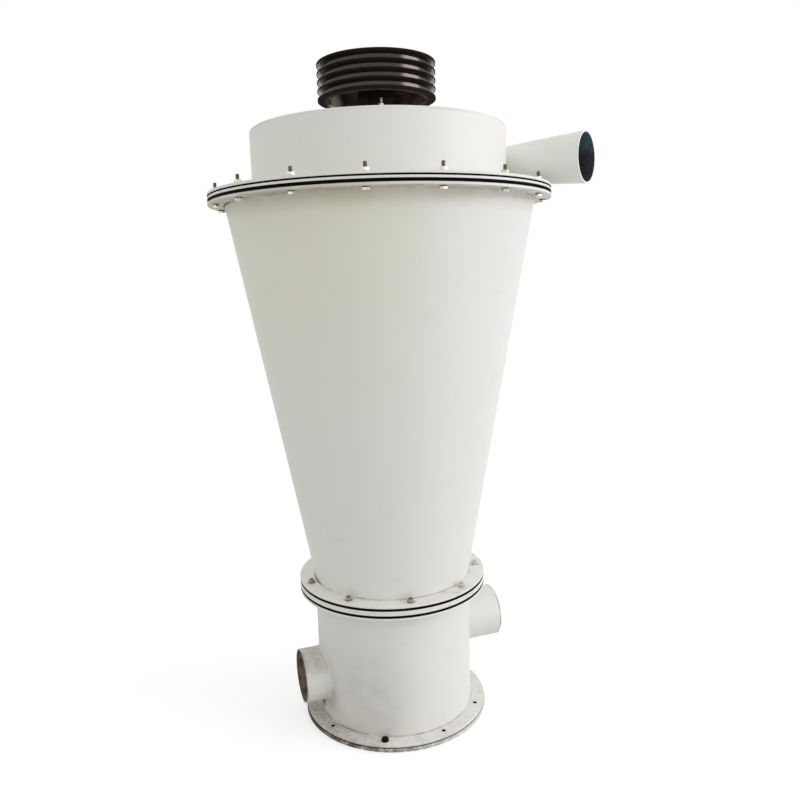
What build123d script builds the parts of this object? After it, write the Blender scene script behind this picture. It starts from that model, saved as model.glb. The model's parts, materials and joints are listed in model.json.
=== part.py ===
import os
from math import cos, radians, sin, sqrt, tan

from build123d import *

# Upright cyclone separator with a belt-driven rotor, standing on its blind bottom plate.
# Millimetres, +Z up. The origin is on the vessel's axis, on the underside of the bottom plate.
# +X is the way the inlet pipe points. Angles are in degrees, counted from +X.

# Sheet, plate and fits
wall_t = 4.0
seat_gap = 0.3
edge_break = 0.8
bolt_hole_r = 4.5

# Bottom plate, its gasket and the chamber's base flange
plate_t = 8.0
plate_edge = 2.0
base_gasket_t = 3.0
base_gasket_set_in = 2.5
base_flange_t = 6.0
base_flange_w = 36.0
base_bolt_count = 9
base_bolt_out = 16.0
base_bolt_first = -63.7

# Settling chamber
chamber_r = 200.0
chamber_height = 330.7
chamber_flange_t = 6.0

# Lower joint: chamber flange, gasket, ring, gasket, cone flange
joint_flange_w = 39.0
joint_gasket_t = 6.0
joint_gasket_set_in = 0.5
joint_ring_t = 11.5
cone_foot_flange_t = 5.0
joint_bolt_count = 9
joint_bolt_out = 17.4
joint_bolt_first = -4.7

# Cone
cone_head_r = 368.0
cone_height = 925.3
sheet_seam = 34.3

# Upper joint: cone flange, thick gasket, ring, thin gasket, drum flange
head_flange_w = 38.0
head_gasket_set_in = 0.4
cone_head_flange_t = 6.0
thick_gasket_t = 6.6
head_ring_t = 5.2
thin_gasket_t = 3.4
drum_flange_t = 6.0
head_bolt_count = 16
head_bolt_out = 21.0
head_bolt_first = 7.9

# Drum and its roof
drum_in_from_cone = 66.0
drum_wall_height = 132.3
roof_t = 6.0
roof_edge = 3.0
roof_hole_gap = 15.0

# Inlet pipe: a cone that narrows towards the drum and enters it beside the axis
inlet_in_from_drum = 57.0
inlet_mouth_x = 427.0
inlet_mouth_r = 60.5
inlet_root_r = 43.2
inlet_wall_t = 4.0

# Two stub pipes of the chamber, one low and one high, on one diameter
stub_r = 66.5
stub_wall_t = 4.5
high_stub_angle = 52.3
high_stub_up = 193.0
high_stub_length = 84.0
low_stub_up = 107.0
low_stub_length = 53.0

# Bearing housing on the roof and its cover
housing_foot_w = 37.0
housing_foot_t = 12.0
housing_body_r = 68.0
housing_head_w = 14.0
housing_head_t = 8.0
housing_height = 38.0
housing_fillet = 6.0
cover_t = 8.0
cover_gap = 6.0

# Shaft and key
shaft_r = 25.0
shaft_below_roof = 15.0
shaft_over_hub = 2.0
running_fit = 0.05
key_w = 14.0
key_t = 9.0
key_sink = 5.5

# Drive pulley with four belt grooves
pulley_r = 139.5
pulley_lift = 26.0
groove_count = 4
groove_pitch = 19.0
groove_edge = 12.5
groove_top_w = 16.3
groove_depth = 14.5
groove_angle = 36.0
rim_t = 11.5
web_t = 16.0
web_up = 36.0
hub_wall = 19.0
hub_foot_up = 4.0
hub_head_down = 6.0

# Heights, from the bottom plate up
chamber_z0 = plate_t + base_gasket_t
low_gasket_z = chamber_z0 + chamber_height
chamber_flange_z = low_gasket_z - chamber_flange_t
joint_ring_z = low_gasket_z + joint_gasket_t
high_gasket_z = joint_ring_z + joint_ring_t
cone_foot_flange_z = high_gasket_z + joint_gasket_t
cone_z0 = cone_foot_flange_z + cone_foot_flange_t
cone_head_flange_z = cone_z0 + cone_height
thick_gasket_z = cone_head_flange_z + cone_head_flange_t
head_ring_z = thick_gasket_z + thick_gasket_t
thin_gasket_z = head_ring_z + head_ring_t
drum_flange_z = thin_gasket_z + thin_gasket_t
drum_z0 = drum_flange_z + drum_flange_t
roof_z0 = drum_z0 + drum_wall_height
roof_z1 = roof_z0 + roof_t
housing_z1 = roof_z1 + housing_height
pulley_z0 = housing_z1 + cover_t + pulley_lift
pulley_z1 = pulley_z0 + (groove_count - 1) * groove_pitch + 2 * groove_edge
hub_z0 = pulley_z0 + hub_foot_up
hub_z1 = pulley_z1 - hub_head_down
web_z0 = pulley_z0 + web_up
shaft_z0 = roof_z0 - shaft_below_roof
shaft_z1 = hub_z1 + shaft_over_hub

# Radii that follow from the sizes above
chamber_r_in = chamber_r - wall_t
base_flange_r = chamber_r + base_flange_w
base_bolt_r = chamber_r + base_bolt_out
joint_r = chamber_r + joint_flange_w
joint_bolt_r = chamber_r + joint_bolt_out
cone_foot_r = chamber_r
head_r = cone_head_r + head_flange_w
head_bore_r = cone_head_r - wall_t
head_bolt_r = cone_head_r + head_bolt_out
drum_r = cone_head_r - drum_in_from_cone
drum_r_in = drum_r - wall_t
rim_in_r = pulley_r - groove_depth - rim_t
hub_r = shaft_r + hub_wall
groove_floor_w = groove_top_w - 2 * groove_depth * tan(radians(groove_angle / 2))

# The inlet pipe's axis, and where it passes through the drum wall
inlet_y = drum_r - inlet_in_from_drum
inlet_z = drum_z0 + drum_wall_height / 2
inlet_root_x = sqrt(drum_r**2 - inlet_y**2)
inlet_slope = (inlet_mouth_r - inlet_root_r) / (inlet_mouth_x - inlet_root_x)
inlet_plane = Plane(origin=(0, inlet_y, inlet_z), x_dir=(1, 0, 0), z_dir=(0, -1, 0))
inlet_axis = Axis((0, inlet_y, inlet_z), (1, 0, 0))
inlet_tail_r = inlet_mouth_r - inlet_slope * inlet_mouth_x

os.makedirs("parts", exist_ok=True)


def upright(angle):
    """Upright plane through the axis, its x pointing outwards at the given angle."""
    a = radians(angle)
    return Plane(origin=(0, 0, 0), x_dir=(cos(a), sin(a), 0), z_dir=(sin(a), -cos(a), 0))


def facing(angle, height):
    """Plane on the axis at the given height, facing outwards at the given angle."""
    a = radians(angle)
    return Plane(origin=(0, 0, height), x_dir=(-sin(a), cos(a), 0), z_dir=(cos(a), sin(a), 0))


def round_edges(part, radius):
    """The circular edges of that radius."""
    return part.edges().filter_by(lambda e: e.geom_type == GeomType.CIRCLE and abs(e.radius - radius) < 0.01)


def finish(builder, name):
    """Labels a finished piece and writes it."""
    builder.part.label = name
    export_step(builder.part, f"parts/{name}.step")


# Bolt circles: radius, number of holes, angle of the first hole
base_circle = (base_bolt_r, base_bolt_count, base_bolt_first)
joint_circle = (joint_bolt_r, joint_bolt_count, joint_bolt_first)
head_circle = (head_bolt_r, head_bolt_count, head_bolt_first)

# Steel flanges and rings: underside, thickness, outside radius, bore radius, bolt circle
steel_rings = {
    "base_flange": (chamber_z0, base_flange_t, base_flange_r, chamber_r + seat_gap, base_circle),
    "chamber_flange": (chamber_flange_z, chamber_flange_t, joint_r, chamber_r + seat_gap, joint_circle),
    "low_joint_ring": (joint_ring_z, joint_ring_t, joint_r, chamber_r_in, joint_circle),
    "cone_foot_flange": (cone_foot_flange_z, cone_foot_flange_t, joint_r, chamber_r_in, joint_circle),
    "cone_head_flange": (cone_head_flange_z, cone_head_flange_t, head_r, head_bore_r, head_circle),
    "head_ring": (head_ring_z, head_ring_t, head_r, head_bore_r, head_circle),
    "drum_flange": (drum_flange_z, drum_flange_t, head_r, drum_r_in, head_circle),
}
for name, (z, thickness, r_out, r_bore, circle) in steel_rings.items():
    with BuildPart() as steel_ring:
        with BuildSketch(Plane.XY.offset(z)):
            Circle(r_out)
            Circle(r_bore, mode=Mode.SUBTRACT)
            with PolarLocations(*circle):
                Circle(bolt_hole_r, mode=Mode.SUBTRACT)
        extrude(amount=thickness)
        chamfer(round_edges(steel_ring, r_out), length=edge_break)
    finish(steel_ring, name)

# Rubber gaskets, set in a little from the rims of their flanges
base_gasket_r = base_flange_r - base_gasket_set_in
joint_gasket_r = joint_r - joint_gasket_set_in
head_gasket_r = head_r - head_gasket_set_in
gaskets = {
    "base_gasket": (plate_t, base_gasket_t, base_gasket_r, chamber_r_in, base_circle),
    "low_joint_gasket_a": (low_gasket_z, joint_gasket_t, joint_gasket_r, chamber_r_in, joint_circle),
    "low_joint_gasket_b": (high_gasket_z, joint_gasket_t, joint_gasket_r, chamber_r_in, joint_circle),
    "head_gasket_a": (thick_gasket_z, thick_gasket_t, head_gasket_r, head_bore_r, head_circle),
    "head_gasket_b": (thin_gasket_z, thin_gasket_t, head_gasket_r, head_bore_r, head_circle),
}
for name, (z, thickness, r_out, r_bore, circle) in gaskets.items():
    with BuildPart() as gasket:
        with BuildSketch(Plane.XY.offset(z)):
            Circle(r_out)
            Circle(r_bore, mode=Mode.SUBTRACT)
            with PolarLocations(*circle):
                Circle(bolt_hole_r, mode=Mode.SUBTRACT)
        extrude(amount=thickness)
    finish(gasket, name)

# Blind bottom plate
plate_r = base_flange_r + plate_edge
with BuildPart() as base_plate:
    with BuildSketch(Plane.XY):
        Circle(plate_r)
        with PolarLocations(*base_circle):
            Circle(bolt_hole_r, mode=Mode.SUBTRACT)
    extrude(amount=plate_t)
    chamfer(round_edges(base_plate, plate_r), length=edge_break)
finish(base_plate, "base_plate")

# Chamber: two rolled halves, each with the hole for its stub pipe, and the two stubs.
# A stub's inner end is flush with the inside of the chamber.
stubs = {
    "low": (high_stub_angle + 180, chamber_z0 + low_stub_up, chamber_r + low_stub_length),
    "high": (high_stub_angle, chamber_z0 + high_stub_up, chamber_r + high_stub_length),
}
for side, (angle, z, reach) in stubs.items():
    with BuildPart() as chamber_half:
        with BuildSketch(upright(angle - 90)):
            with Locations((chamber_r_in, chamber_z0)):
                Rectangle(wall_t, chamber_height, align=Align.MIN)
        revolve(axis=Axis.Z, revolution_arc=180)
        with BuildSketch(facing(angle, z)):
            Circle(stub_r + seat_gap)
        extrude(amount=reach, mode=Mode.SUBTRACT)
    finish(chamber_half, f"chamber_{side}_half")

    with BuildPart() as stub:
        with BuildSketch(facing(angle, z)):
            Circle(stub_r)
            Circle(stub_r - stub_wall_t, mode=Mode.SUBTRACT)
        extrude(amount=reach)
        with BuildSketch(Plane.XY.offset(chamber_z0)):
            Circle(chamber_r_in)
        extrude(amount=chamber_height, mode=Mode.SUBTRACT)
    finish(stub, f"{side}_stub")

# Cone: two rolled halves
for name, start in {"cone_half_a": sheet_seam, "cone_half_b": sheet_seam + 180}.items():
    with BuildPart() as cone_half:
        with BuildSketch(upright(start)):
            with BuildLine():
                Polyline(
                    (cone_foot_r - wall_t, cone_z0),
                    (cone_foot_r, cone_z0),
                    (cone_head_r, cone_head_flange_z),
                    (cone_head_r - wall_t, cone_head_flange_z),
                    close=True,
                )
            make_face()
        revolve(axis=Axis.Z, revolution_arc=180)
    finish(cone_half, name)

# Drum: the rolled half that the inlet pipe enters
with BuildPart() as drum_inlet_half:
    with BuildSketch(upright(sheet_seam)):
        with Locations((drum_r_in, drum_z0)):
            Rectangle(wall_t, drum_wall_height, align=Align.MIN)
    revolve(axis=Axis.Z, revolution_arc=180)
    with BuildSketch(inlet_plane):
        with BuildLine():
            Polyline(
                (0, 0),
                (inlet_mouth_x, 0),
                (inlet_mouth_x, inlet_mouth_r + seat_gap),
                (0, inlet_tail_r + seat_gap),
                close=True,
            )
        make_face()
    revolve(axis=inlet_axis, mode=Mode.SUBTRACT)
finish(drum_inlet_half, "drum_inlet_half")

# Drum: the plain rolled half
with BuildPart() as drum_plain_half:
    with BuildSketch(upright(sheet_seam + 180)):
        with Locations((drum_r_in, drum_z0)):
            Rectangle(wall_t, drum_wall_height, align=Align.MIN)
    revolve(axis=Axis.Z, revolution_arc=180)
finish(drum_plain_half, "drum_plain_half")

# Drum roof
with BuildPart() as drum_roof:
    with BuildSketch(Plane.XY.offset(roof_z0)):
        Circle(drum_r)
        Circle(shaft_r + roof_hole_gap, mode=Mode.SUBTRACT)
    extrude(amount=roof_t)
    fillet(round_edges(drum_roof, drum_r).sort_by(Axis.Z)[-1], radius=roof_edge)
finish(drum_roof, "drum_roof")

# Inlet pipe: a narrowing cone, its inner end trimmed to the inside of the drum
with BuildPart() as inlet_pipe:
    with BuildSketch(inlet_plane):
        with BuildLine():
            Polyline(
                (0, inlet_tail_r - inlet_wall_t),
                (inlet_mouth_x, inlet_mouth_r - inlet_wall_t),
                (inlet_mouth_x, inlet_mouth_r),
                (0, inlet_tail_r),
                close=True,
            )
        make_face()
    revolve(axis=inlet_axis)
    with BuildSketch(Plane.XY.offset(drum_z0)):
        Circle(drum_r_in)
    extrude(amount=drum_wall_height, mode=Mode.SUBTRACT)
finish(inlet_pipe, "inlet_pipe")

# Bearing housing: a flanged foot, a body and a flanged head
housing_foot_r = housing_body_r + housing_foot_w
housing_head_r = housing_body_r + housing_head_w
with BuildPart() as bearing_housing:
    with BuildSketch(Plane.XY.offset(roof_z1)):
        Circle(housing_foot_r)
    extrude(amount=housing_foot_t)
    with BuildSketch(Plane.XY.offset(roof_z1)):
        Circle(housing_body_r)
    extrude(amount=housing_height)
    with BuildSketch(Plane.XY.offset(housing_z1)):
        Circle(housing_head_r)
    extrude(amount=-housing_head_t)
    fillet(round_edges(bearing_housing, housing_body_r), radius=housing_fillet)
    chamfer(round_edges(bearing_housing, housing_foot_r).sort_by(Axis.Z)[-1], length=edge_break)
    with BuildSketch(Plane.XY.offset(roof_z1)):
        Circle(shaft_r + running_fit)
    extrude(amount=housing_height, mode=Mode.SUBTRACT)
finish(bearing_housing, "bearing_housing")

# Cover of the bearing housing
with BuildPart() as bearing_cover:
    with BuildSketch(Plane.XY.offset(housing_z1)):
        Circle(housing_head_r)
        Circle(shaft_r + cover_gap, mode=Mode.SUBTRACT)
    extrude(amount=cover_t)
    chamfer(round_edges(bearing_cover, housing_head_r).sort_by(Axis.Z)[-1], length=edge_break)
finish(bearing_cover, "bearing_cover")

# Shaft with its keyway
with BuildPart() as shaft:
    with BuildSketch(Plane.XY.offset(shaft_z0)):
        Circle(shaft_r)
    extrude(amount=shaft_z1 - shaft_z0)
    chamfer(round_edges(shaft, shaft_r), length=edge_break)
    with BuildSketch(Plane.XY.offset(hub_z0)):
        with Locations((0, shaft_r)):
            Rectangle(key_w, 2 * key_sink)
    extrude(amount=shaft_z1 - hub_z0, mode=Mode.SUBTRACT)
finish(shaft, "shaft")

# Drive pulley: hub, web and a rim with its belt grooves
with BuildPart() as drive_pulley:
    with BuildSketch(Plane.XZ):
        with BuildLine():
            Polyline(
                (shaft_r, hub_z0),
                (hub_r, hub_z0),
                (hub_r, web_z0),
                (rim_in_r, web_z0),
                (rim_in_r, pulley_z0),
                (pulley_r, pulley_z0),
                (pulley_r, pulley_z1),
                (rim_in_r, pulley_z1),
                (rim_in_r, web_z0 + web_t),
                (hub_r, web_z0 + web_t),
                (hub_r, hub_z1),
                (shaft_r, hub_z1),
                close=True,
            )
        make_face()
        with Locations([(pulley_r, pulley_z1 - groove_edge - n * groove_pitch) for n in range(groove_count)]):
            Polygon(
                (0, groove_top_w / 2),
                (-groove_depth, groove_floor_w / 2),
                (-groove_depth, -groove_floor_w / 2),
                (0, -groove_top_w / 2),
                align=None,
                mode=Mode.SUBTRACT,
            )
    revolve(axis=Axis.Z)
    with BuildSketch(Plane.XY.offset(hub_z0)):
        with Locations((0, shaft_r)):
            Rectangle(key_w, 2 * (key_t - key_sink))
    extrude(amount=hub_z1 - hub_z0, mode=Mode.SUBTRACT)
finish(drive_pulley, "drive_pulley")

# Key between shaft and pulley
with BuildPart() as pulley_key:
    with BuildSketch(Plane.XY.offset(hub_z0)):
        with Locations((0, shaft_r - key_sink)):
            Rectangle(key_w, key_t, align=(Align.CENTER, Align.MIN))
    extrude(amount=hub_z1 - hub_z0)
finish(pulley_key, "pulley_key")
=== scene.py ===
"""Finish of the cyclone separator: paint, rubber, iron, fasteners and weld beads on its fixed frame."""

import json
import math
from functools import cached_property
from typing import NamedTuple

import bpy
from mathutils import Matrix, Vector


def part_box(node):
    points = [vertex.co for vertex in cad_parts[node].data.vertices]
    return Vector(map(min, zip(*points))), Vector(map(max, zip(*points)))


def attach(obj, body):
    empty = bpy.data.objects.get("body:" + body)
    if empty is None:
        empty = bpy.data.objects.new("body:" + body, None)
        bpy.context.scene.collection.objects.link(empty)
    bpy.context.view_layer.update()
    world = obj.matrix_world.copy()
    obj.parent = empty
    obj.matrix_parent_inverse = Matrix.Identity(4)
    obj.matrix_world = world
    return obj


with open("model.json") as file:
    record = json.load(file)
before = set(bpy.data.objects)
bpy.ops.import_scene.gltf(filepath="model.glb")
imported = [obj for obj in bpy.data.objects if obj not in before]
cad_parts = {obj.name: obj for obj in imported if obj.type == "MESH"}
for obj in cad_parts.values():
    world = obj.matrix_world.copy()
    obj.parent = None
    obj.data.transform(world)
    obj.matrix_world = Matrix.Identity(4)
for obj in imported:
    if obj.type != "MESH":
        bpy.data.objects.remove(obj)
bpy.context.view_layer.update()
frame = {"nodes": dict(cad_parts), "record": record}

bl_info = {
    "name": "Cyclone Separator Finish",
    "version": (1, 0, 0),
    "blender": (4, 5, 0),
    "location": "View3D > Sidebar > Cyclone",
    "description": "Paints the cyclone separator and adds its fasteners and weld beads",
    "category": "Object",
}

MM = 0.001


# Places and sizes read from the frame, in metres


def foot(node):
    """Height of a node's underside."""
    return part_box(node)[0].z


def head(node):
    """Height of a node's top."""
    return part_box(node)[1].z


def round_size(node):
    """Outside radius of a round node that stands on the vessel's axis."""
    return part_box(node)[1].x


def heading(direction):
    """Angle of a level direction, from +X."""
    return math.atan2(direction[1], direction[0])


MOUNTS = {mount["name"]: mount for mount in frame["record"]["mounts"]}
CHAMBER_R = -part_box("chamber_low_half")[0].x
CONE_HEAD_R = -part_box("cone_half_b")[0].y
DRUM_R = -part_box("drum_plain_half")[0].y
PULLEY_R = round_size("drive_pulley")
CONE_FOOT, CONE_HEAD = foot("cone_half_a"), head("cone_half_a")
CONE_SLOPE = (CONE_HEAD_R - CHAMBER_R) / (CONE_HEAD - CONE_FOOT)
INLET_LOW, INLET_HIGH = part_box("inlet_pipe")
INLET_CENTRE = (INLET_LOW + INLET_HIGH) / 2
INLET_MOUTH_R = (INLET_HIGH.y - INLET_LOW.y) / 2
BASE_PATTERN = MOUNTS["base_holes"]["dims"]
BASE_CIRCLE_R = BASE_PATTERN["pcd_mm"] * MM / 2
LOW_OUTLET = MOUNTS["low_outlet"]
LOW_SIDE = heading(LOW_OUTLET["axis"])
STUBS = {"low_stub": LOW_OUTLET, "high_stub": MOUNTS["high_outlet"]}
STUB_BORE_R = LOW_OUTLET["dims"]["r_mm"] * MM
STUB_R = (head("low_stub") - foot("low_stub")) / 2


def stub_rim(mount, turn):
    """A point where a stub pipe meets the outside of the chamber, turned round the stub's axis."""
    out = Vector(mount["axis"])
    side = Vector((-out.y, out.x, 0.0))
    across = STUB_R * math.cos(turn)
    up = Vector((0.0, 0.0, mount["pos_m"][2] + STUB_R * math.sin(turn)))
    return out * math.sqrt(CHAMBER_R**2 - across**2) + side * across + up


# Sizes and colours that a user would change


def number(label, description, default, **kind):
    """A number; kind says what it measures."""
    return bpy.props.FloatProperty(name=label, description=description, default=default, **kind)


def length(label, description, mm):
    """A length, given in millimetres."""
    return number(label, description, mm * MM, unit="LENGTH")


def angle(label, description, degrees):
    """An angle, given in degrees."""
    return number(label, description, math.radians(degrees), subtype="ANGLE")


def count(label, description, default):
    """A whole number."""
    return bpy.props.IntProperty(name=label, description=description, default=default, min=1)


def colour(label, description, default):
    """A colour."""
    return bpy.props.FloatVectorProperty(
        name=label, description=description, default=default, subtype="COLOR", size=3, min=0.0, max=1.0
    )


class CycloneColours(bpy.types.PropertyGroup):
    """Colours of the finishes, and where some of them lie."""

    paint: colour("Paint", "Off-white gloss paint", (0.80, 0.797, 0.74))
    # Whiter coat of the inlet pipe, which paints in light
    lit_paint: colour("Lit paint", "Whiter paint of the inlet pipe", (0.90, 0.90, 0.86))
    # Yellowed paint high on the cone, partly a painted warm tint of its shaded side
    aged_paint_and_shade_tint: colour("Aged paint and shade tint", "Yellowed paint high on the cone", (0.79, 0.785, 0.62))
    paint_tint: colour("Paint tint", "Where the paint is a little yellower", (0.76, 0.75, 0.685))
    grime: colour("Grime", "Grey-brown handling dirt", (0.30, 0.27, 0.225))
    rust_dark: colour("Dark rust", "Old rust", (0.050, 0.036, 0.027))
    rust_light: colour("Light rust", "Dusty rust", (0.27, 0.205, 0.145))
    bare_steel: colour("Bare steel", "Cut edges and scuffs", (0.36, 0.34, 0.31))
    inside: colour("Inside", "Unpainted inside of the vessel", (0.055, 0.050, 0.050))
    stain: colour("Stain", "Yellowish seepage under the upper joint", (0.47, 0.43, 0.30))
    inlet_inside: colour("Inlet inside", "Purple-black scale in the inlet pipe", (0.027, 0.023, 0.036))
    inlet_bloom: colour("Inlet bloom", "Blue-green bloom high in that pipe", (0.075, 0.175, 0.19))
    rubber: colour("Rubber", "Black gasket rubber", (0.002, 0.002, 0.002))
    iron: colour("Iron", "Dark brown-black pulley", (0.014, 0.0085, 0.006))
    iron_dust: colour("Iron dust", "Brown dust on the pulley", (0.19, 0.135, 0.115))
    groove: colour("Groove", "Worn iron in the belt grooves", (0.070, 0.062, 0.050))
    # Pale dust inside the pulley's rim, which also paints in the light on that patch
    rim_dust_and_light: colour("Rim dust and light", "Pale dust inside the pulley's rim", (0.85, 0.76, 0.67))
    zinc: colour("Zinc", "Bright zinc of nuts and washers", (0.88, 0.85, 0.70))
    dull_zinc: colour("Dull zinc", "Dirty nuts of the lower joint", (0.46, 0.44, 0.37))
    thread: colour("Thread", "Thread ends, yellowish steel", (0.17, 0.155, 0.11))
    # Blackened base bolt, also used for the painted shade in the base flange's holes
    black_bolt: colour("Black bolt and hole shade", "Blackened bolt of the base", (0.003, 0.003, 0.003))
    oiled: colour("Oiled steel", "Dark shaft and key", (0.036, 0.032, 0.029))
    low_stub_dirt: number("Low stub dirt", "How dirty the low stub is along its top", 0.55)
    high_stub_dirt: number("High stub dirt", "How dirty the high stub is along its top", 0.02)
    # Angle of that patch of pale dust and painted light
    rim_dust_and_light_turn: angle("Rim dust and light turn", "Angle of the pale dust inside the pulley's rim", -172.0)
    seepage_turn: angle("Seepage turn", "Angle where the upper joint has leaked most", -95.7)
    # The seams at the cone's foot and head are darkest here: dark joints, and painted shade on that side
    dark_seam_turn: angle("Dark seam turn", "Angle where the seam at the cone's foot is darkest", -130.7)
    # Angle of the side where the lower joint's nuts are painted pale, as painted light
    lit_side_turn: angle("Lit side turn", "Angle where paint covers the nuts of the lower joint", 14.0)


class CycloneFasteners(bpy.types.PropertyGroup):
    """Sizes of the bolts, and where their circles lie."""

    bolt_d: length("Bolt", "Diameter of the joint bolts", 8)
    nut_w: length("Nut width", "Across the flats of the joint nuts", 14)
    nut_t: length("Nut height", "Height of the joint nuts", 6.5)
    head_t: length("Head height", "Height of the bolt heads", 5.6)
    washer_r: length("Washer", "Radius of the washers", 9)
    washer_t: length("Washer thickness", "Thickness of the washers", 1.6)
    pitch: length("Thread pitch", "Pitch of the joint bolts' thread", 1.25)
    head_joint_count: count("Head joint bolts", "Bolts of the upper joint", 16)
    head_joint_first: angle("Head joint first bolt", "Angle of its first bolt", 7.9)
    head_joint_in: length("Head joint bolts in", "Bolt circle in from the rim", 17)
    head_joint_out: length("Head joint thread", "Thread standing out over the nuts", 11)
    low_joint_count: count("Low joint bolts", "Bolts of the lower joint", 9)
    low_joint_first: angle("Low joint first bolt", "Angle of its first bolt", -4.7)
    low_joint_in: length("Low joint bolts in", "Bolt circle in from the rim", 21.6)
    low_joint_out: length("Low joint thread", "Thread standing out over the nuts", 2.8)
    base_first: angle("Base bolt", "Angle of the one bolt left in the base flange", -63.7)
    base_head_w: length("Base bolt width", "Across the flats of its head", 15)
    base_head_t: length("Base bolt height", "Height of its head", 6)
    base_tip_up: length("Base bolt tip", "Height of its tip over the plate's underside", 1)
    cover_count: count("Cover studs", "Studs of the bearing cover", 3)
    cover_first: angle("Cover first stud", "Angle of its first stud", -47.7)
    cover_in: length("Cover studs in", "Stud circle in from the cover's rim", 9)
    cover_scale: number("Cover stud scale", "Size of these studs against the joint bolts", 0.75)
    cover_out: length("Cover thread", "Thread standing out over the nuts", 12)
    cover_depth: length("Cover stud depth", "How deep these studs go into the housing", 8)
    housing_count: count("Housing bolts", "Bolts of the bearing housing's foot", 4)
    housing_first: angle("Housing first bolt", "Angle of its first bolt", -2.7)
    housing_in: length("Housing bolts in", "Bolt circle in from the foot's rim", 14)
    housing_foot: length("Housing foot", "Thickness of that foot", 12)
    seed: bpy.props.IntProperty(name="Seed", description="How the nuts happen to be turned", default=7)


class CycloneWelds(bpy.types.PropertyGroup):
    """Sizes of the weld beads."""

    bead_r: length("Bead", "Radius of the bead's round back", 2.4)
    step: length("Step", "Length of one facet along the bead", 1.6)
    ripple: length("Ripple", "Distance between two ripples", 6)
    ripple_h: length("Ripple height", "How far a ripple stands out", 0.25)
    wander: length("Wander", "How unevenly the bead runs", 0.7)
    inlet_slope: number("Inlet slope", "How fast the inlet pipe widens along its axis", 0.0691)


class CycloneStage(bpy.types.PropertyGroup):
    """Camera, light and floor."""

    camera_turn: angle("Camera turn", "Where the camera stands around the vessel, from -Y", 34.3)
    camera_away: length("Camera distance", "Distance of the camera from the vessel's axis", 1861.8)
    camera_up: length("Camera height", "Height of the camera", 1127.1)
    camera_yaw: angle("Camera yaw", "How far the camera looks right of the axis", 1.045)
    camera_pitch: angle("Camera pitch", "How far the camera looks down", 9.516)
    camera_roll: angle("Camera roll", "How far the camera is tipped", -1.685)
    lens: number("Lens", "Focal length in mm on a 36 mm sensor", 33.62)
    sky: number("Sky", "Level of the even light from all round", 0.82)
    key: number("Key light", "Power of the high softbox on the right", 140.0)
    key_turn: angle("Key turn", "Where that softbox stands, from the camera", 80.0)
    fill: number("Fill light", "Power of the low softbox on the right", 28.0)
    fill_turn: angle("Fill turn", "Where that softbox stands, from the camera", 56.0)
    tint: colour("Tint", "Colour of both softboxes", (0.885, 0.873, 1.0))
    floor: colour("Floor", "Pale floor", (0.62, 0.62, 0.62))
    floor_lift: number("Floor lift", "How much the floor is lifted towards white for the eye", 0.50)


# Node helpers

FLOAT, VECTOR, COLOUR = "NodeSocketFloat", "NodeSocketVector", "NodeSocketColor"
WHOLE, GEOMETRY, MATERIAL = "NodeSocketInt", "NodeSocketGeometry", "NodeSocketMaterial"


def rgba(value):
    """A colour with full alpha."""
    return (*value, 1.0)


class Net:
    """Adds nodes to a tree and links them."""

    def __init__(self, tree):
        self.tree = tree

    def add(self, kind, inputs=None, **settings):
        """A node; its inputs are given by name or number, as values or as sockets to link."""
        node = self.tree.nodes.new(kind)
        for key, value in settings.items():
            setattr(node, key, value)
        for key, value in (inputs or {}).items():
            self.feed(value, node.inputs[key])
        return node

    def make(self, kind, inputs=None, **settings):
        """The first output of a new node."""
        return self.add(kind, inputs, **settings).outputs[0]

    def feed(self, value, socket):
        """Links a socket or sets a value."""
        if isinstance(value, bpy.types.NodeSocket):
            self.tree.links.new(value, socket)
        else:
            socket.default_value = value

    def maths(self, operation, *values):
        """Result of a sum."""
        return self.make("ShaderNodeMath", dict(enumerate(values)), operation=operation)

    def times(self, product, *others):
        """Product of several values."""
        for other in others:
            product = self.maths("MULTIPLY", product, other)
        return product

    def plus(self, first, second):
        """Sum of two values."""
        return self.maths("ADD", first, second)

    def minus(self, first, second):
        """Difference of two values."""
        return self.maths("SUBTRACT", first, second)

    def over(self, first, second):
        """Quotient of two values."""
        return self.maths("DIVIDE", first, second)

    def ramp(self, value, low, high, smooth=True):
        """0 where a value is at low, 1 where it is at high."""
        kind = "SMOOTHSTEP" if smooth else "LINEAR"
        inputs = {"Value": value, "From Min": low, "From Max": high}
        return self.make("ShaderNodeMapRange", inputs, interpolation_type=kind, clamp=True)

    def between(self, mask, first, second):
        """One number over another by a mask."""
        return self.make("ShaderNodeMix", {0: mask, 2: first, 3: second}, data_type="FLOAT")

    def blend(self, mask, first, second):
        """One colour over another by a mask."""
        return self.add("ShaderNodeMix", {0: mask, 6: first, 7: second}, data_type="RGBA").outputs[2]

    def noise(self, vector, scale, detail=3.0, roughness=0.55):
        """Even cloud noise."""
        inputs = {"Vector": vector, "Scale": scale, "Detail": detail, "Roughness": roughness}
        return self.make("ShaderNodeTexNoise", inputs)

    def xyz(self, x, y, z):
        """A vector from its three parts."""
        return self.make("ShaderNodeCombineXYZ", {0: x, 1: y, 2: z})

    def split(self, vector):
        """The three parts of a vector."""
        return self.add("ShaderNodeSeparateXYZ", {0: vector}).outputs

    def distance(self, first, second=(0.0, 0.0, 0.0)):
        """Distance between two points."""
        return self.add("ShaderNodeVectorMath", {0: first, 1: second}, operation="DISTANCE").outputs["Value"]


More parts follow.
